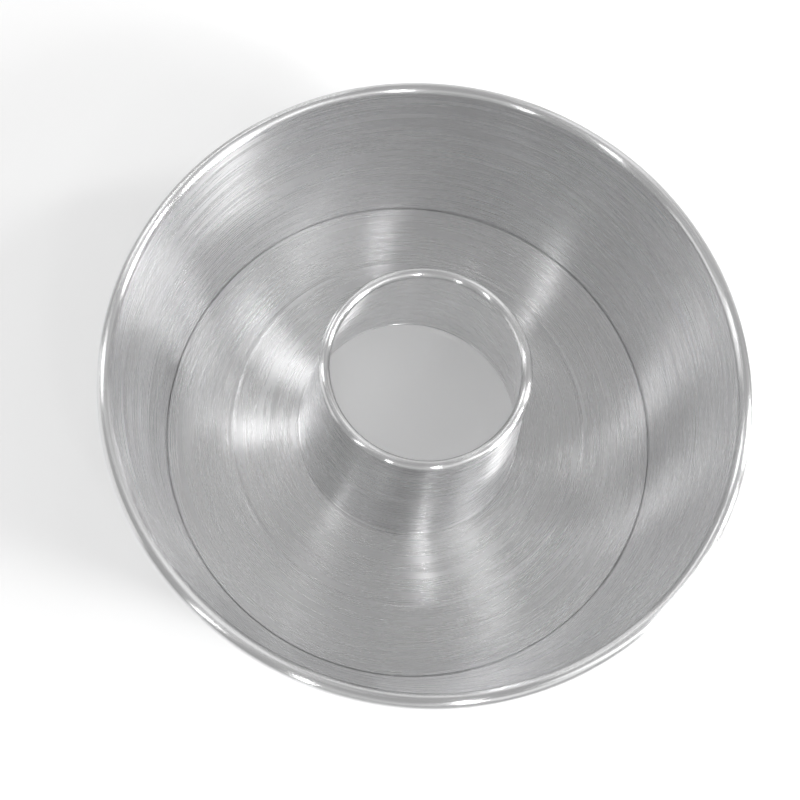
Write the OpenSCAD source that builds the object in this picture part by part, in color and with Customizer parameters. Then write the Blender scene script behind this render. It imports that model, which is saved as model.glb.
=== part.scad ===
// Two-piece angel food cake pan of spun aluminium sheet, in millimetres.
// The shell is an open ring with a ledge at its foot. A loose bottom with an open,
// tapered centre tube drops in from above and rests on that ledge.
// The origin is on the table under the centre of the pan, and +Z is up.

/* [Shell] */
// Inside diameter of the shell just under its rolled rim
top_inside_d = 254; // [220:1:320]
// Height of the shell from the table to the top of its rolled rim
shell_h = 101.6; // [60:0.1:140]
// How far the wall leans out from upright, in degrees
wall_lean = 2.75; // [0:0.05:8]
// Outside diameter of the rolled rim
rim_curl_d = 6; // [4:0.1:10]
// Inside radius of the bend between the wall and the ledge
corner_r = 1; // [0.6:0.1:1.3]
// Width of the ledge that carries the loose bottom
ledge_w = 14; // [8:0.5:20]
// Thickness of the shell's sheet
shell_sheet = 1.2; // [0.8:0.05:1.6]

/* [Bottom plate] */
// Thickness of the plate's sheet
plate_sheet = 1.2; // [0.8:0.05:2]
// Radius that breaks the top and bottom corners of the plate's edge
plate_edge_r = 0.5; // [0.2:0.05:0.5]
// Gap all round between the plate's edge and the wall
plate_gap = 0.4; // [0.3:0.05:1.5]
// Gap between the plate and the ledge below it
seat_gap = 0.3; // [0.1:0.05:0.6]
// Distance from the plate's edge in to the shallow ring pressed into it
pressed_ring_inset = 32.5; // [15:0.5:40]
// Width of the pressed ring
pressed_ring_w = 2; // [1:0.1:4]
// Depth of the pressed ring
pressed_ring_depth = 0.2; // [0.1:0.05:0.4]

/* [Centre tube] */
// Outside diameter of the tube where it meets the top of the plate
tube_base_d = 111; // [90:1:130]
// Outside diameter of the rolled lip at the top of the tube
tube_lip_d = 88.4; // [50:0.2:92]
// How far the middle of the tube's lip lies below the middle of the shell's rim
tube_drop = 4; // [-30:0.1:20]
// Outside diameter of the roll that forms the lip
lip_curl_d = 4.8; // [4:0.1:8]
// How far the middle of the tube's wall passes outside the middle of that roll
lip_seat = 0.8; // [0:0.05:1]
// Thickness of the tube's sheet
tube_sheet = 1.2; // [0.8:0.05:1.4]
// Width of the flange rolled out under the plate
foot_flange_w = 7.3; // [3:0.1:12]
// Least gap between that flange and the table
foot_gap = 0.1; // [0.1:0.05:1]
// Radius of the small bead that locks the plate down on the flange
lock_bead_r = 0.8; // [0.6:0.05:1.5]
// Gap between the tube and the hole in the plate
hole_gap = 0.1; // [0.05:0.05:0.3]

/* [Hidden] */

$fn = 96;
arc_step = 10; // degrees from one point of a rounded stretch to the next, at most
roll_slot = 0.4; // gap that stays between a roll's end and the wall beside it

// Heights
rim_z = shell_h - rim_curl_d / 2;
lip_z = rim_z - tube_drop;
plate_z = max(shell_sheet + seat_gap, tube_sheet + foot_gap);
plate_top = plate_z + plate_sheet;

// Shell, with the radii of its wall taken on the inside
rim_r = top_inside_d / 2 + rim_curl_d / 2 / cos(wall_lean);
corner_z = shell_sheet + corner_r;
corner_x = wall_r(corner_z) - corner_r / cos(wall_lean);
ledge_r = corner_x + corner_r + shell_sheet - ledge_w;

// Centre tube, with the radii of its wall taken on the outside
tube_base_r = tube_base_d / 2;
lip_r = (tube_lip_d - lip_curl_d) / 2;
lip_reach = lip_seat + tube_sheet / 2;
tube_lean = cone_lean(tube_base_r - lip_r, lip_z - plate_top, lip_reach);
foot_r = tube_r(plate_z);

// Bottom plate
plate_r = wall_r(plate_top) - plate_gap;
plate_hole_r = foot_r + hole_gap;
plate_corner_r = min(plate_edge_r, plate_sheet / 2);
pressed_ring_r = plate_r - pressed_ring_inset;

// Inside radius of the shell's wall at height z
function wall_r(z) = top_inside_d / 2 - (rim_z - z) * tan(wall_lean);

// Outside radius of the tube's wall at height z
function tube_r(z) = tube_base_r - (z - plate_top) * tan(tube_lean);

// Lean of a straight wall whose outer face starts this far out from a point and this far below
// it, and passes the point at the distance reach, on its outer side
function cone_lean(out, below, reach) = atan2(out, below) - asin(reach / norm([out, below]));

// Point at a distance from a centre, in a direction in degrees
function polar(centre, r, angle) = centre + r * [cos(angle), sin(angle)];

// Points of an arc about a centre, from one direction round to another
function arc(centre, r, from, to) =
    let (steps = ceil(abs(to - from) / arc_step))
    [for (i = [0:steps]) polar(centre, r, from + (to - from) * i / steps)];

// Direction from a roll's centre to the end of its sheet. The roll leaves the wall in the
// direction start and turns over the top, clockwise, until only the slot is left.
function roll_end(start, d, t) = start - 360 + acos((d / 2 - t - roll_slot) / (d / 2));

// Section of the shell: ledge with a rounded edge, corner, leaning wall, rolled rim, and back
// along the sheet's outer face
module shell_section() {
    ledge_edge = [ledge_r + shell_sheet / 2, shell_sheet / 2];
    corner = [corner_x, corner_z];
    rim = [rim_r, rim_z];
    roll_r = rim_curl_d / 2;
    start = 180 - wall_lean;
    end = roll_end(start, rim_curl_d, shell_sheet);
    polygon(concat(
        arc(ledge_edge, shell_sheet / 2, 270, 90),
        arc(corner, corner_r, -90, -wall_lean),
        arc(rim, roll_r, start, end),
        arc(rim, roll_r - shell_sheet, end, start),
        arc(corner, corner_r + shell_sheet, -wall_lean, -90)));
}

// Section of the plate: a flat disc with rounded corners and a shallow ring pressed down in it
module plate_section() {
    ring_arc_r = pow(pressed_ring_w / 2, 2) / (2 * pressed_ring_depth) + pressed_ring_depth / 2;
    ring_rise = ring_arc_r - pressed_ring_depth;
    half = asin(pressed_ring_w / 2 / ring_arc_r);
    edge_x = plate_r - plate_corner_r;
    polygon(concat(
        [[plate_hole_r, plate_z], [plate_hole_r, plate_top]],
        arc([pressed_ring_r, plate_top + ring_rise], ring_arc_r, 270 - half, 270 + half),
        arc([edge_x, plate_top - plate_corner_r], plate_corner_r, 90, 0),
        arc([edge_x, plate_z + plate_corner_r], plate_corner_r, 0, -90),
        arc([pressed_ring_r, plate_z + ring_rise], ring_arc_r, 270 + half, 270 - half)));
}

// Section of the tube: flange under the plate, bead that locks the plate down, cone, rolled lip,
// and back down the bore. The bead is the sheet pushed out, so the bore has a groove behind it.
// The lip is rolled inward, over and down again, and its end stops just short of the wall's
// outer face.
module tube_section() {
    foot = [foot_r, plate_z];
    lip = [lip_r, lip_z];
    bead_z = plate_top + lock_bead_r;
    bead = [tube_r(bead_z), bead_z];
    up = 90 + tube_lean;
    inward = 180 + tube_lean;
    groove = polar(bead, tube_sheet, inward);
    roll_r = lip_curl_d / 2;
    outer_start = tube_lean - acos(lip_reach / roll_r);
    inner_start = tube_lean - acos((lip_reach - tube_sheet) / roll_r);
    end = outer_start - 360 + 2 * asin(roll_slot / 2 / roll_r);
    polygon(concat(
        [foot + [foot_flange_w, -tube_sheet], foot + [foot_flange_w, 0], foot],
        arc(bead, lock_bead_r, up - 180, up),
        [polar(lip, roll_r, outer_start)],
        arc(lip, roll_r - tube_sheet, outer_start, end),
        arc(lip, roll_r, end, inner_start),
        arc(groove, lock_bead_r, up, up - 180),
        arc(foot, tube_sheet, inward, 270)));
}

// Open ring that forms the side of the pan
module outer_shell() {
    color("silver") rotate_extrude() shell_section();
}

// Loose bottom that rests on the shell's ledge
module bottom_plate() {
    color("gainsboro") rotate_extrude() plate_section();
}

// Open tapered tube that is swaged to the plate and lifts it out
module centre_tube() {
    color("lightgray") rotate_extrude() tube_section();
}

outer_shell();
bottom_plate();
centre_tube();
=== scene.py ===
"""Angel food cake pan of spun aluminium sheet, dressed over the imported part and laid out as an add-on."""

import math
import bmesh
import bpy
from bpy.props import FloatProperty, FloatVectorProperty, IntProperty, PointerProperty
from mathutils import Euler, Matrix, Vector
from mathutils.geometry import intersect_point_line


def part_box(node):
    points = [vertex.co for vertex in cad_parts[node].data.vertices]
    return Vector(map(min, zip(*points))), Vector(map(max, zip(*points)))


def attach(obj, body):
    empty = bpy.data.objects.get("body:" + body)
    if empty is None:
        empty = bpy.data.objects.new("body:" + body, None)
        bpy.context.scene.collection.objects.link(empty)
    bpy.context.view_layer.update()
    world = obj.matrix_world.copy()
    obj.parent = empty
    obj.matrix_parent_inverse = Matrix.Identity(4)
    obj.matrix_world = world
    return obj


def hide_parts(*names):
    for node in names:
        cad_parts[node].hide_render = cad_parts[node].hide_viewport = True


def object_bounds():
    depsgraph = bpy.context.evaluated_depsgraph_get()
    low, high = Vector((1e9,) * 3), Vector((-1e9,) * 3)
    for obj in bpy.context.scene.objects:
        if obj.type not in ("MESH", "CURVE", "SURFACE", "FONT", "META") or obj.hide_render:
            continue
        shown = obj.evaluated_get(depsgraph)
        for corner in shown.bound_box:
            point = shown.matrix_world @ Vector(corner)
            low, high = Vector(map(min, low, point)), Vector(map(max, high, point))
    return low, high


bl_info = {
    "name": "Angel Food Cake Pan",
    "version": (1, 0, 0),
    "blender": (4, 5, 0),
    "location": "3D View > Sidebar > Cake Pan",
    "description": "Two-piece tube pan of spun aluminium on a pale studio floor",
    "category": "Object",
}

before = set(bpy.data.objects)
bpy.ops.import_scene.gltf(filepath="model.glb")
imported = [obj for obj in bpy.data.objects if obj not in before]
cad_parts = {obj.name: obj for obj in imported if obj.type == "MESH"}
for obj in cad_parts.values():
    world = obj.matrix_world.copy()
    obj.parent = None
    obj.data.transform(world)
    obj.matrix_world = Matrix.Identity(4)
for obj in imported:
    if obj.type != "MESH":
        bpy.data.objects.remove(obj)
CAD_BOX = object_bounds()
SHELL_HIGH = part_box("outer_shell")[1]
PLATE_LOW, PLATE_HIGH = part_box("bottom_plate")
TUBE_LOW, TUBE_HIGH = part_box("centre_tube")

SPIN_UV = "spin"
MM_PER_M = 1000
WHITE = (1, 1, 1, 1)

# Sheet and how it is drawn, with lengths in metres
SHEET = 0.0012  # gauge of all three pieces
PLATE_SPREAD = 0.0002  # the plate's radius is drawn this much larger, so that the gap round it is faint
HELD_STEPS = 3  # a straight stretch is held flat where it is longer than this many short steps
MERGE_PARTS = 9  # points closer than a short step divided by this are merged
PLACE_DIGITS = 7  # places on an outline are told apart to this many decimals
ROUNDING = 0.001  # allowance for rounding, as a share of a step or of a radius

# Spin lines: how many to the millimetre, how quickly they change round the turn, and how many
# layers of finer lines they carry
SCRATCH_LINES = (9, 1.5, 0)
FINE_LINES = (1.6, 2, 2)
COARSE_LINES = (0.35, 1.5, 3)
STRAY_LINES = (1.1, 2, 1)
NOISE_MIDDLE = 0.5  # the noise runs from 0 to 1 about this

# How bright the metal is between the lines, and how much the lines change that
PLAIN_SHADE = 0.98
FINE_SHADE = 0.1
COARSE_SHADE = 0.08

# Where the lines of each finish start, so that no two pieces match
SHELL_SEED = 11
RIM_SEED = 13
PLATE_SEED = 23
TUBE_SEED = 37
LIP_SEED = 41


def length(text, value, least=0.0001, most=0.4):
    """A size in metres for a property group."""
    return FloatProperty(name=text, description=text, default=value, min=least, max=most,
                         precision=5, unit="LENGTH")


class ShellSizes(bpy.types.PropertyGroup):
    """Sizes of the outer shell"""
    rim_radius: length("Outside radius of the rolled rim", SHELL_HIGH.x)
    height: length("Height of the rim above the table", SHELL_HIGH.z)
    rim_roll: length("Outside diameter of the rolled rim", 0.006)
    corner: length("Inside radius of the bend between wall and ledge", 0.001)
    ledge: length("Width of the ledge that carries the loose bottom", 0.014)
    sheet: length("Thickness of the shell's sheet", SHEET)
    lean: FloatProperty(name="Wall lean", description="How far the wall leans out from upright",
                        default=math.radians(2.75), min=0, max=math.radians(20), subtype="ANGLE")


class PlateSizes(bpy.types.PropertyGroup):
    """Sizes of the loose bottom plate"""
    radius: length("Radius of the plate", PLATE_HIGH.x + PLATE_SPREAD)
    top: length("Height of the plate's top face", PLATE_HIGH.z)
    sheet: length("Thickness of the plate's sheet", SHEET)
    edge: length("Radius that breaks the plate's edges", 0.0005)
    hole_gap: length("Gap between the plate's hole and the tube", 0.0001, least=0)
    ring_inset: length("Distance from the edge in to the pressed ring", 0.0325)
    ring_width: length("Width of the pressed ring", 0.002)
    ring_depth: length("Depth of the pressed ring", PLATE_HIGH.z - PLATE_LOW.z - SHEET)


class TubeSizes(bpy.types.PropertyGroup):
    """Sizes of the centre tube"""
    base_radius: length("Outside radius of the tube at the plate", 0.0555)
    lip_radius: length("Outside radius of the rolled lip", 0.0442)
    lip_top: length("Height of the top of the lip", TUBE_HIGH.z)
    lip_roll: length("Outside diameter of the roll that forms the lip", 0.0048)
    lip_seat: length("How far the middle of the wall passes outside the middle of that roll", 0.0008)
    flange_radius: length("Outside radius of the flange under the plate", TUBE_HIGH.x)
    flange_low: length("Height of the underside of the flange", TUBE_LOW.z)
    bead: length("Radius of the bead that locks the plate down", 0.0008)
    sheet: length("Thickness of the tube's sheet", SHEET)


class SpinSettings(bpy.types.PropertyGroup):
    """How finely the pieces are turned"""
    steps: IntProperty(name="Steps", description="Faces round each piece", default=320, min=32, max=512)
    bend_step: FloatProperty(name="Bend step", description="Turn from one point of a bend to the next",
                             default=math.radians(7.5), min=math.radians(1), max=math.radians(30),
                             subtype="ANGLE")
    roll_slot: length("Gap between a roll's end and the wall it comes back to", 0.0004)
    hold: length("Length of the short step that keeps a straight stretch flat beside a bend", 0.001)
    sharp_turn: FloatProperty(name="Sharp turn", description="Edges that turn further than this are broken",
                              default=math.radians(40), min=0, max=math.pi, subtype="ANGLE")
    broken_edge: length("How far a sharp edge is broken", 0.00012)


class MetalFinish(bpy.types.PropertyGroup):
    """Finish of the spun aluminium"""
    colour: FloatVectorProperty(name="Colour", description="Colour of the bare metal", subtype="COLOR",
                                size=3, min=0, max=1, default=(0.85, 0.85, 0.855))
    roughness: FloatProperty(name="Roughness", description="Roughness of the metal",
                             default=0.27, min=0, max=1)
    comb: FloatProperty(name="Comb", description="How much the roughness differs from line to line",
                        default=0.2, min=0, max=1)
    brushing: FloatProperty(name="Brushing", description="How steeply the finest lines tilt the surface",
                            default=0.12, min=0, max=4)
    ripple: FloatProperty(name="Ripple", description="How steeply the visible lines tilt the surface",
                          default=0.06, min=0, max=1)
    wander: FloatProperty(name="Wander", description="How far the lines stray from a true circle",
                          default=0.02, min=0, max=1)
    rolled: FloatProperty(name="Rolled roughness", description="Roughness of the smoother rolled edges",
                          default=0.22, min=0, max=1)


class StageSettings(bpy.types.PropertyGroup):
    """Camera, floor and light"""
    camera_place: FloatVectorProperty(name="Camera place", description="Where the camera stands",
                                      subtype="TRANSLATION", unit="LENGTH", size=3,
                                      default=(-0.035664, -0.117182, 0.445164))
    camera_turn: FloatVectorProperty(name="Camera turn", subtype="EULER", size=3,
                                     description="How the camera is turned from straight down",
                                     default=(math.radians(17.2121), math.radians(-1.4353), 0))
    lens: FloatProperty(name="Lens", description="Focal length in millimetres on a 36 mm wide film",
                        default=40.5, min=10, max=300)
    clip_start: length("Distance in front of the camera at which things start to show", 0.01)
    shift: FloatVectorProperty(name="Shift", description="Shift of the lens as a share of the film's width",
                               size=2, default=(0.0495, -0.01725))
    floor_colour: FloatVectorProperty(name="Floor colour", description="Colour of the pale floor",
                                      subtype="COLOR", size=3, min=0, max=1, default=(0.8, 0.8, 0.8))
    floor_reach: FloatProperty(name="Floor reach", description="How far the floor reaches to each side",
                               default=6, min=1, max=50, unit="LENGTH")
    floor_lift: FloatProperty(name="Floor lift", description="White added to the floor where it is seen",
                              default=0.14, min=0, max=1)
    sky: FloatProperty(name="Room light", description="Strength of the even light from the room",
                       default=0.4, min=0, max=10)


class SectionLine:
    """The closed outline of a piece in section, drawn step by step in the plane of X and Z.
    The metal lies on the right of the line, as seen by someone who walks along it with Z up."""

    def __init__(self, radius, height, spin):
        self.mesh = bmesh.new()
        self.spin = spin
        self.places = []
        self.tip = self.mesh.verts.new((radius, 0, height))
        self.note()

    def note(self):
        """Remembers where the tip is now."""
        self.places.append(self.tip.co.copy())

    def straight(self, radius, height):
        """Draws a straight stretch to this radius and height. A long one has a short step at both ends."""
        start, end = self.places[-1], Vector((radius, 0, height))
        step = self.spin.hold * (end - start).normalized()
        stops = [end]
        if (end - start).length > HELD_STEPS * self.spin.hold:
            stops = [start + step, end - step, end]
        for stop in stops:
            self.tip = bmesh.ops.extrude_vert_indiv(self.mesh, verts=[self.tip])["verts"][0]
            self.tip.co = stop
            self.note()

    def bend(self, radius, height, turn):
        """Draws an arc round the point at this radius and height. A turn above zero is clockwise,
        with X to the right and Z up."""
        steps = max(1, math.ceil(abs(turn) / self.spin.bend_step - ROUNDING))
        for _ in range(steps):
            drawn = bmesh.ops.spin(self.mesh, geom=[self.tip], cent=(radius, 0, height),
                                   axis=(0, 1, 0), angle=turn / steps, steps=1)
            self.tip = drawn["geom_last"][0]
            self.note()

    def run_at(self, point):
        """Distance along the outline to the place nearest to a point."""
        best_gap = math.inf
        best_run = 0
        run = 0
        for start, end in zip(self.places, self.places[1:]):
            share = min(1, max(0, intersect_point_line(point, start, end)[1]))
            gap = (point - start.lerp(end, share)).length
            if gap < best_gap:
                best_gap = gap
                best_run = run + share * (end - start).length
            run += (end - start).length
        return best_run

    def length(self):
        """Length of the whole outline."""
        return sum((end - start).length for start, end in zip(self.places, self.places[1:]))


def direction(angle):
    """The unit vector in the plane of X and Z at this angle from X, towards Z."""
    return Vector((math.cos(angle), 0, math.sin(angle)))


def lay_out_spin_map(mesh, line):
    """Gives each face corner its run along the outline and its turn about Z, both in metres."""
    layer = mesh.loops.layers.uv.new(SPIN_UV)
    whole = line.length()
    known = {}

    def run_of(place):
        key = (round(math.hypot(place.x, place.y), PLACE_DIGITS), round(place.z, PLACE_DIGITS))
        if key not in known:
            known[key] = line.run_at(Vector((key[0], 0, key[1])))
        return known[key]

    for face in mesh.faces:
        middle = face.calc_center_median()
        middle_turn = math.atan2(middle.y, middle.x)
        middle_run = run_of(middle)
        for corner in face.loops:
            place = corner.vert.co
            turn = math.remainder(math.atan2(place.y, place.x) - middle_turn, math.tau) + middle_turn
            run = math.remainder(run_of(place) - middle_run, whole) + middle_run
            corner[layer].uv = (run, turn * line.places[0].x)


def spin_section(name, line):
    """Closes a drawn outline and turns it about Z."""
    mesh = line.mesh
    bmesh.ops.remove_doubles(mesh, verts=mesh.verts[:], dist=line.spin.hold / MERGE_PARTS)
    bmesh.ops.spin(mesh, geom=mesh.verts[:] + mesh.edges[:], cent=(0, 0, 0), axis=(0, 0, 1),
                   angle=math.tau, steps=line.spin.steps, use_merge=True)
    bmesh.ops.recalc_face_normals(mesh, faces=mesh.faces[:])
    sharp = [edge for edge in mesh.edges if edge.calc_face_angle() > line.spin.sharp_turn]
    bmesh.ops.bevel(mesh, geom=sharp, offset=line.spin.broken_edge, affect="EDGES", segments=2,
                    profile=0.5, material=-1)
    bmesh.ops.recalc_face_normals(mesh, faces=mesh.faces[:])
    lay_out_spin_map(mesh, line)
    for face in mesh.faces:
        face.smooth = True
    data = bpy.data.meshes.new(name)
    mesh.to_mesh(data)
    mesh.free()
    piece = bpy.data.objects.new(name, data)
    bpy.context.scene.collection.objects.link(piece)
    return piece


def shell_rim(sizes):
    """Middle of the roll that forms the shell's rim."""
    roll = sizes.rim_roll / 2
    return Vector((sizes.rim_radius - roll, 0, sizes.height - roll))


def model_outer_shell(sizes, spin):
    """The side of the pan: a ledge, a leaning wall and a rim rolled outwards."""
    lean, sheet = sizes.lean, sizes.sheet
    upright = math.pi / 2 - lean
    roll = sizes.rim_roll / 2
    rim = shell_rim(sizes)
    corner_z = sheet + sizes.corner
    wall_x = rim.x - roll / math.cos(lean) - (rim.z - corner_z) * math.tan(lean)
    corner = Vector((wall_x - sizes.corner / math.cos(lean), 0, corner_z))
    edge_x = corner.x + sizes.corner + sheet - sizes.ledge + sheet / 2
    inward = math.pi - lean
    rolled = math.tau - math.acos((roll - sheet - spin.roll_slot) / roll)
    line = SectionLine(edge_x, sheet, spin)
    line.straight(corner.x, sheet)
    line.bend(corner.x, corner.z, -upright)
    wall_top = rim + roll * direction(inward)
    line.straight(wall_top.x, wall_top.z)
    line.bend(rim.x, rim.z, rolled)
    hollow = rim + (roll - sheet) * direction(inward - rolled)
    line.straight(hollow.x, hollow.z)
    line.bend(rim.x, rim.z, -rolled)
    wall_foot = corner + (sizes.corner + sheet) * direction(-lean)
    line.straight(wall_foot.x, wall_foot.z)
    line.bend(corner.x, corner.z, upright)
    line.straight(edge_x, 0)
    line.bend(edge_x, sheet / 2, math.pi)
    return spin_section("outer_shell_spun", line)


def model_bottom_plate(sizes, tube, spin):
    """The loose bottom: a flat disc with a hole for the tube and a shallow ring pressed into it."""
    top, low = sizes.top, sizes.top - sizes.sheet
    hole = tube.base_radius + sizes.sheet * math.tan(tube_lean(tube)) + sizes.hole_gap
    half = sizes.ring_width / 2
    arc = half ** 2 / (2 * sizes.ring_depth) + sizes.ring_depth / 2
    ring_turn = 2 * math.asin(half / arc)
    ring = sizes.radius - sizes.ring_inset
    edge = sizes.radius - sizes.edge
    line = SectionLine(hole, top, spin)
    line.straight(ring - half, top)
    line.bend(ring, top + arc - sizes.ring_depth, -ring_turn)
    line.straight(edge, top)
    line.bend(edge, top - sizes.edge, math.pi / 2)
    line.straight(sizes.radius, low + sizes.edge)
    line.bend(edge, low + sizes.edge, math.pi / 2)
    line.straight(ring + half, low)
    line.bend(ring, low + arc - sizes.ring_depth, ring_turn)
    line.straight(hole, low)
    line.straight(hole, top)
    return spin_section("bottom_plate_spun", line)


def tube_lip(sizes):
    """Middle of the roll that forms the tube's lip."""
    roll = sizes.lip_roll / 2
    return Vector((sizes.lip_radius - roll, 0, sizes.lip_top - roll))


def tube_lean(sizes):
    """How far the tube's wall leans in from upright, if its outer face starts at the plate and
    passes just outside the middle of the lip's roll."""
    lip = tube_lip(sizes)
    out, below = sizes.base_radius - lip.x, lip.z - PLATE_HIGH.z
    reach = sizes.lip_seat + sizes.sheet / 2
    return math.atan2(out, below) - math.asin(reach / math.hypot(out, below))


def model_centre_tube(sizes, spin):
    """The tube: a flange under the plate, a bead that locks the plate down, a cone and a rolled lip."""
    lean, sheet, lip = tube_lean(sizes), sizes.sheet, tube_lip(sizes)
    roll = sizes.lip_roll / 2
    plate_top = PLATE_HIGH.z
    low, high = sizes.flange_low, sizes.flange_low + sheet
    foot = Vector((sizes.base_radius + (plate_top - high) * math.tan(lean), 0, high))
    bead = Vector((sizes.base_radius - sizes.bead * math.tan(lean), 0, plate_top + sizes.bead))
    groove = bead + sheet * direction(math.pi + lean)
    rise = sizes.bead * direction(math.pi / 2 + lean)
    edge_x = sizes.flange_radius - sheet / 2
    outer_start = lean - math.acos((sizes.lip_seat + sheet / 2) / roll)
    inner_start = lean - math.acos((sizes.lip_seat - sheet / 2) / roll)
    end = outer_start - math.tau + 2 * math.asin(spin.roll_slot / 2 / roll)
    line = SectionLine(edge_x, low, spin)
    line.straight(foot.x, low)
    line.bend(foot.x, foot.z, math.pi / 2 - lean)
    groove_foot = groove - rise
    line.straight(groove_foot.x, groove_foot.z)
    line.bend(groove.x, groove.z, -math.pi)
    bore_top = lip + roll * direction(inner_start)
    line.straight(bore_top.x, bore_top.z)
    line.bend(lip.x, lip.z, inner_start - end)
    hollow = lip + (roll - sheet) * direction(end)
    line.straight(hollow.x, hollow.z)
    line.bend(lip.x, lip.z, end - outer_start)
    wall_top = lip + roll * direction(outer_start)
    line.straight(wall_top.x, wall_top.z)
    bead_top = bead + rise
    line.straight(bead_top.x, bead_top.z)
    line.bend(bead.x, bead.z, math.pi)
    line.straight(foot.x, foot.z)
    line.straight(edge_x, high)
    line.bend(edge_x, (low + high) / 2, math.pi)
    return spin_section("centre_tube_spun", line)


def add_node(tree, kind, **settings):
    """Adds a shader node and sets its properties."""
    node = tree.nodes.new(kind)
    for key, value in settings.items():
        setattr(node, key, value)
    return node


def math_node(tree, operation, first, second, clamp=False):
    """A Math node on two sockets or numbers."""
    node = add_node(tree, "ShaderNodeMath", operation=operation, use_clamp=clamp)
    for socket, value in zip(node.inputs, (first, second)):
        if isinstance(value, (int, float)):
            socket.default_value = value
        else:
            tree.links.new(value, socket)
    return node.outputs[0]


def vector_node(tree, operation, *values):
    """A Vector Math node on sockets or triples."""
    node = add_node(tree, "ShaderNodeVectorMath", operation=operation)
    for socket, value in zip(node.inputs, values):
        if isinstance(value, tuple):
            socket.default_value = value
        else:
            tree.links.new(value, socket)
    return node.outputs[0]


def spin_line_group():
    """Lines that a spinning tool leaves. They follow the turn and vary quickly along the section,
    so they tilt the surface along the section and only a little round the turn."""
    tree = bpy.data.node_groups.new("spin_lines", "ShaderNodeTree")
    for name in ("Roughness", "Comb", "Brushing", "Ripple", "Wander", "Seed"):
        tree.interface.new_socket(name, in_out="INPUT", socket_type="NodeSocketFloat")
    for name in ("Shade", "Roughness"):
        tree.interface.new_socket(name, in_out="OUTPUT", socket_type="NodeSocketFloat")
    tree.interface.new_socket("Normal", in_out="OUTPUT", socket_type="NodeSocketVector")
    given = add_node(tree, "NodeGroupInput").outputs
    made = add_node(tree, "NodeGroupOutput").inputs
    place = add_node(tree, "ShaderNodeTexCoord").outputs["Object"]
    spin_map = add_node(tree, "ShaderNodeUVMap", uv_map=SPIN_UV).outputs["UV"]
    split = add_node(tree, "ShaderNodeSeparateXYZ")
    tree.links.new(spin_map, split.inputs[0])
    run_mm = math_node(tree, "MULTIPLY", split.outputs["X"], MM_PER_M)
    round_way = vector_node(tree, "NORMALIZE", vector_node(tree, "MULTIPLY", place, (1, 1, 0)))

    def lines(per_mm, change, layers):
        """Noise with this many lines to the millimetre, drawn out round the turn."""
        across = math_node(tree, "ADD", math_node(tree, "MULTIPLY", run_mm, per_mm), given["Seed"])
        column = add_node(tree, "ShaderNodeCombineXYZ")
        tree.links.new(across, column.inputs["Z"])
        round_part = vector_node(tree, "MULTIPLY", round_way, (change, change, change))
        noise = add_node(tree, "ShaderNodeTexNoise")
        noise.inputs["Scale"].default_value = 1
        noise.inputs["Detail"].default_value = layers
        tree.links.new(vector_node(tree, "ADD", round_part, column.outputs[0]), noise.inputs["Vector"])
        return math_node(tree, "SUBTRACT", noise.outputs["Fac"], NOISE_MIDDLE)

    scratch = lines(*SCRATCH_LINES)
    fine = lines(*FINE_LINES)
    coarse = lines(*COARSE_LINES)
    stray = lines(*STRAY_LINES)
    tilt = math_node(tree, "ADD", math_node(tree, "MULTIPLY", scratch, given["Brushing"]),
                     math_node(tree, "MULTIPLY", math_node(tree, "ADD", fine, coarse), given["Ripple"]))
    tangent = add_node(tree, "ShaderNodeTangent", direction_type="UV_MAP", uv_map=SPIN_UV).outputs[0]
    normal = add_node(tree, "ShaderNodeNewGeometry").outputs["Normal"]
    tipped = vector_node(tree, "ADD", normal, vector_node(tree, "MULTIPLY", tangent, tilt))
    sideways = vector_node(tree, "MULTIPLY", vector_node(tree, "CROSS_PRODUCT", normal, tangent),
                           math_node(tree, "MULTIPLY", stray, given["Wander"]))
    tipped = vector_node(tree, "ADD", tipped, sideways)
    tree.links.new(vector_node(tree, "NORMALIZE", tipped), made["Normal"])
    shade = math_node(tree, "ADD", math_node(tree, "MULTIPLY", fine, FINE_SHADE),
                      math_node(tree, "MULTIPLY", coarse, COARSE_SHADE))
    tree.links.new(math_node(tree, "ADD", shade, PLAIN_SHADE, clamp=True), made["Shade"])
    comb = math_node(tree, "MULTIPLY", math_node(tree, "ADD", fine, coarse), given["Comb"])
    tree.links.new(math_node(tree, "ADD", given["Roughness"], comb), made["Roughness"])
    return tree


def spun_aluminium(name, finish, roughness, seed):
    """Satin aluminium whose gloss is drawn out across its spin lines."""
    material = bpy.data.materials.new(name)
    material.use_nodes = True
    tree = material.node_tree
    metal = tree.nodes["Principled BSDF"]
    metal.inputs["Metallic"].default_value = 1
    metal.inputs["Anisotropic"].default_value = 1
    tangent = add_node(tree, "ShaderNodeTangent", direction_type="UV_MAP", uv_map=SPIN_UV)
    tree.links.new(tangent.outputs[0], metal.inputs["Tangent"])
    group = bpy.data.node_groups.get("spin_lines") or spin_line_group()
    lines = add_node(tree, "ShaderNodeGroup", node_tree=group)
    lines.inputs["Seed"].default_value = seed
    lines.inputs["Roughness"].default_value = roughness
    lines.inputs["Comb"].default_value = finish.comb
    lines.inputs["Brushing"].default_value = finish.brushing
    lines.inputs["Ripple"].default_value = finish.ripple
    lines.inputs["Wander"].default_value = finish.wander
    colour = vector_node(tree, "MULTIPLY", lines.outputs["Shade"], tuple(finish.colour))
    tree.links.new(colour, metal.inputs["Base Color"])
    tree.links.new(lines.outputs["Roughness"], metal.inputs["Roughness"])
    tree.links.new(lines.outputs["Normal"], metal.inputs["Normal"])
    return material


def smooth_roll(piece, middle, radius, finish, seed):
    """Gives the faces of a rolled edge the smoother finish that rolling leaves."""
    piece.data.materials.append(spun_aluminium(piece.name + "_roll", finish, finish.rolled, seed))
    for face in piece.data.polygons:
        place = Vector((face.center.xy.length, 0, face.center.z))
        if (place - middle).length < radius * (1 + ROUNDING):
            face.material_index = 1


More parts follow.
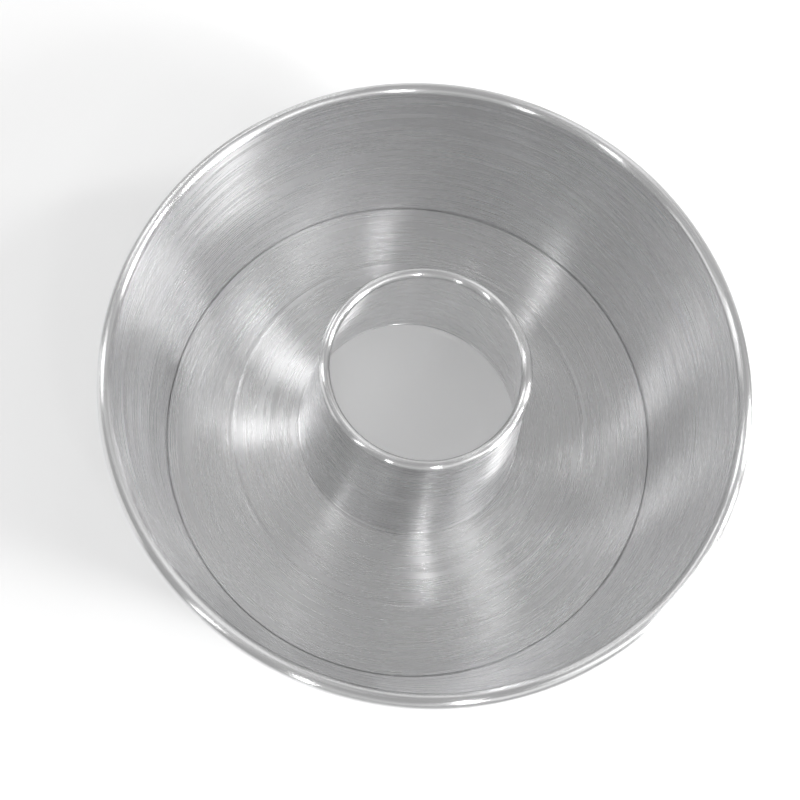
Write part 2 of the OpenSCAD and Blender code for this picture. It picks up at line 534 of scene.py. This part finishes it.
def finish_piece(piece, node, body):
    """Puts a finished piece in the place of its CAD node."""
    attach(piece, body)
    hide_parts(node)


class CAKEPAN_OT_outer_shell(bpy.types.Operator):
    """Spin the side of the pan with its ledge and rolled rim"""
    bl_idname = "cakepan.outer_shell"
    bl_label = "Outer Shell"

    def execute(self, context):
        scene = context.scene
        sizes, metal = scene.pan_shell, scene.pan_metal
        piece = model_outer_shell(sizes, scene.pan_spin)
        piece.data.materials.append(spun_aluminium("spun_shell", metal, metal.roughness, SHELL_SEED))
        smooth_roll(piece, shell_rim(sizes), sizes.rim_roll / 2, metal, RIM_SEED)
        finish_piece(piece, "outer_shell", "shell")
        return {"FINISHED"}


class CAKEPAN_OT_bottom_plate(bpy.types.Operator):
    """Make the loose bottom plate with its pressed ring"""
    bl_idname = "cakepan.bottom_plate"
    bl_label = "Bottom Plate"

    def execute(self, context):
        scene = context.scene
        metal = scene.pan_metal
        piece = model_bottom_plate(scene.pan_plate, scene.pan_tube, scene.pan_spin)
        piece.data.materials.append(spun_aluminium("spun_plate", metal, metal.roughness, PLATE_SEED))
        finish_piece(piece, "bottom_plate", "insert")
        return {"FINISHED"}


class CAKEPAN_OT_centre_tube(bpy.types.Operator):
    """Spin the open centre tube with its foot and rolled lip"""
    bl_idname = "cakepan.centre_tube"
    bl_label = "Centre Tube"

    def execute(self, context):
        scene = context.scene
        sizes, metal = scene.pan_tube, scene.pan_metal
        piece = model_centre_tube(sizes, scene.pan_spin)
        piece.data.materials.append(spun_aluminium("spun_tube", metal, metal.roughness, TUBE_SEED))
        smooth_roll(piece, tube_lip(sizes), sizes.lip_roll / 2, metal, LIP_SEED)
        finish_piece(piece, "centre_tube", "insert")
        return {"FINISHED"}


def add_camera(settings):
    """A camera at the photograph's viewing angle."""
    data = bpy.data.cameras.new("camera")
    data.lens = settings.lens
    data.shift_x, data.shift_y = settings.shift
    data.clip_start = settings.clip_start
    camera = bpy.data.objects.new("camera", data)
    camera.location = settings.camera_place
    camera.rotation_euler = settings.camera_turn
    bpy.context.scene.collection.objects.link(camera)
    bpy.context.scene.camera = camera


def seen_or_reflected(tree):
    """One on rays from the camera, in reflections and through glass, and nought on all other light."""
    path = add_node(tree, "ShaderNodeLightPath").outputs
    seen = math_node(tree, "ADD", path["Is Camera Ray"], path["Is Glossy Ray"])
    return math_node(tree, "ADD", seen, path["Is Transmission Ray"], clamp=True)


def white_when_seen(tree, seen, colour):
    """White where the floor is seen or reflected, and this colour to all other light."""
    mix = add_node(tree, "ShaderNodeMix", data_type="RGBA")
    tree.links.new(seen, mix.inputs["Factor"])
    given, white = [socket for socket in mix.inputs if socket.type == "RGBA"]
    given.default_value = (*colour, 1)
    white.default_value = WHITE
    return next(socket for socket in mix.outputs if socket.type == "RGBA")


def add_floor(settings):
    """A wide pale floor that looks white to the camera."""
    mesh = bmesh.new()
    bmesh.ops.create_grid(mesh, x_segments=1, y_segments=1, size=settings.floor_reach)
    data = bpy.data.meshes.new("floor")
    mesh.to_mesh(data)
    mesh.free()
    floor = bpy.data.objects.new("floor", data)
    bpy.context.scene.collection.objects.link(floor)
    material = bpy.data.materials.new("pale_floor")
    material.use_nodes = True
    tree = material.node_tree
    paint = tree.nodes["Principled BSDF"]
    seen = seen_or_reflected(tree)
    colour = white_when_seen(tree, seen, settings.floor_colour)
    tree.links.new(colour, paint.inputs["Base Color"])
    paint.inputs["Emission Color"].default_value = WHITE
    lift = math_node(tree, "MULTIPLY", seen, settings.floor_lift)
    tree.links.new(lift, paint.inputs["Emission Strength"])
    paint.inputs["Roughness"].default_value = 1
    paint.inputs["Specular IOR Level"].default_value = 0
    floor.data.materials.append(material)


def add_room(settings):
    """Even light from the room."""
    world = bpy.data.worlds.new("room")
    world.use_nodes = True
    room = world.node_tree.nodes["Background"]
    room.inputs["Color"].default_value = WHITE
    room.inputs["Strength"].default_value = settings.sky
    bpy.context.scene.world = world


def add_lamp(name, turn, rise, distance, width, height, glow):
    """An area lamp that faces the pan. Its turn from +X and its rise above the floor, and the width
    and height that the pan sees, are in degrees, and its distance in metres."""
    turn, rise = math.radians(turn), math.radians(rise)
    data = bpy.data.lights.new(name, "AREA")
    data.shape = "RECTANGLE"
    data.size = 2 * distance * math.tan(math.radians(width) / 2)
    data.size_y = 2 * distance * math.tan(math.radians(height) / 2)
    data.energy = glow * math.pi * data.size * data.size_y
    lamp = bpy.data.objects.new(name, data)
    aim = Vector((0, 0, CAD_BOX[1][2] / 2))
    out = Vector((math.cos(rise) * math.cos(turn), math.cos(rise) * math.sin(turn), math.sin(rise)))
    lamp.location = aim + distance * out
    lamp.rotation_euler = Euler((math.pi / 2 - rise, 0, turn + math.pi / 2))
    lamp.visible_camera = False
    bpy.context.scene.collection.objects.link(lamp)


# Each lamp has its name, its turn, rise and distance, its width and height as seen from the pan,
# and its glow. The windows and panels light the whole pan, and each of the others draws the
# streak that it is named after.
LAMPS = (
    ("back_window", 90, 18, 2.5, 40, 24, 0.6),
    ("back_right_window", 45, 18, 2.5, 40, 24, 0.4),
    ("left_window", 180, 18, 2.5, 40, 24, 0.7),
    ("front_right_window", 315, 50, 2.5, 40, 30, 0.55),
    ("right_window", 0, 50, 2.5, 40, 30, 0.15),
    ("back_right_panel", 60, 48, 2.5, 14, 32, 0.7),
    ("back_panel", 108, 48, 2.5, 22, 6, 2.5),
    ("front_panel", 264, 42, 2.5, 22, 18, 0.4),
    ("wall_back_left", 330, 31, 0.9, 9, 12, 46),
    ("wall_left_wide", 340, 31, 0.9, 6, 16, 13),
    ("wall_left", 356, 42, 2.5, 6, 6, 18),
    ("wall_left_narrow", 4, 31, 2.5, 2, 16, 12),
    ("wall_left_near", 8, 38, 0.9, 5, 16, 11),
    ("wall_back_right", 218, 50, 2.5, 2, 24, 6),
    ("wall_back_right_near", 218, 55, 0.9, 2, 58, 0.8),
    ("wall_back", 247, 33, 0.9, 3, 8, 14),
    ("plate_back_left", 128, 55, 0.9, 6, 6, 5),
    ("plate_back_left_near", 124, 55, 0.5, 6, 6, 2.5),
    ("plate_left_near", 144, 69, 0.5, 2, 34, 1.5),
    ("plate_left", 156, 55, 0.5, 6, 6, 8),
    ("plate_front", 286, 55, 0.5, 2, 6, 32),
    ("plate_front_near", 282, 48, 0.5, 2, 6, 3.5),
    ("tube_front_right", 320, 55, 0.5, 6, 32, 1.3),
)


class CAKEPAN_OT_stage(bpy.types.Operator):
    """Set the camera, the pale floor and the studio lamps"""
    bl_idname = "cakepan.stage"
    bl_label = "Stage"

    def execute(self, context):
        scene = context.scene
        add_camera(scene.pan_stage)
        add_floor(scene.pan_stage)
        add_room(scene.pan_stage)
        for lamp in LAMPS:
            add_lamp(*lamp)
        scene.view_settings.view_transform = "Standard"
        return {"FINISHED"}


class CAKEPAN_PT_sidebar(bpy.types.Panel):
    """Buttons that make the cake pan"""
    bl_idname = "CAKEPAN_PT_sidebar"
    bl_label = "Cake Pan"
    bl_space_type = "VIEW_3D"
    bl_region_type = "UI"
    bl_category = "Cake Pan"

    def draw(self, context):
        for operator in OPERATORS:
            self.layout.operator(operator.bl_idname)


OPERATORS = (CAKEPAN_OT_stage, CAKEPAN_OT_outer_shell, CAKEPAN_OT_bottom_plate, CAKEPAN_OT_centre_tube)
SETTINGS = {"pan_shell": ShellSizes, "pan_plate": PlateSizes, "pan_tube": TubeSizes,
            "pan_spin": SpinSettings, "pan_metal": MetalFinish, "pan_stage": StageSettings}
CLASSES = (*SETTINGS.values(), *OPERATORS, CAKEPAN_PT_sidebar)


def register():
    """Adds the classes and their settings to Blender."""
    for cls in CLASSES:
        bpy.utils.register_class(cls)
    for name, cls in SETTINGS.items():
        setattr(bpy.types.Scene, name, PointerProperty(type=cls))


def unregister():
    """Takes the settings and the classes out again."""
    for name in SETTINGS:
        delattr(bpy.types.Scene, name)
    for cls in reversed(CLASSES):
        bpy.utils.unregister_class(cls)


def main():
    """Sets the stage and makes the three pieces."""
    register()
    bpy.ops.cakepan.stage()
    bpy.ops.cakepan.outer_shell()
    bpy.ops.cakepan.bottom_plate()
    bpy.ops.cakepan.centre_tube()


if __name__ == "__main__":
    main()
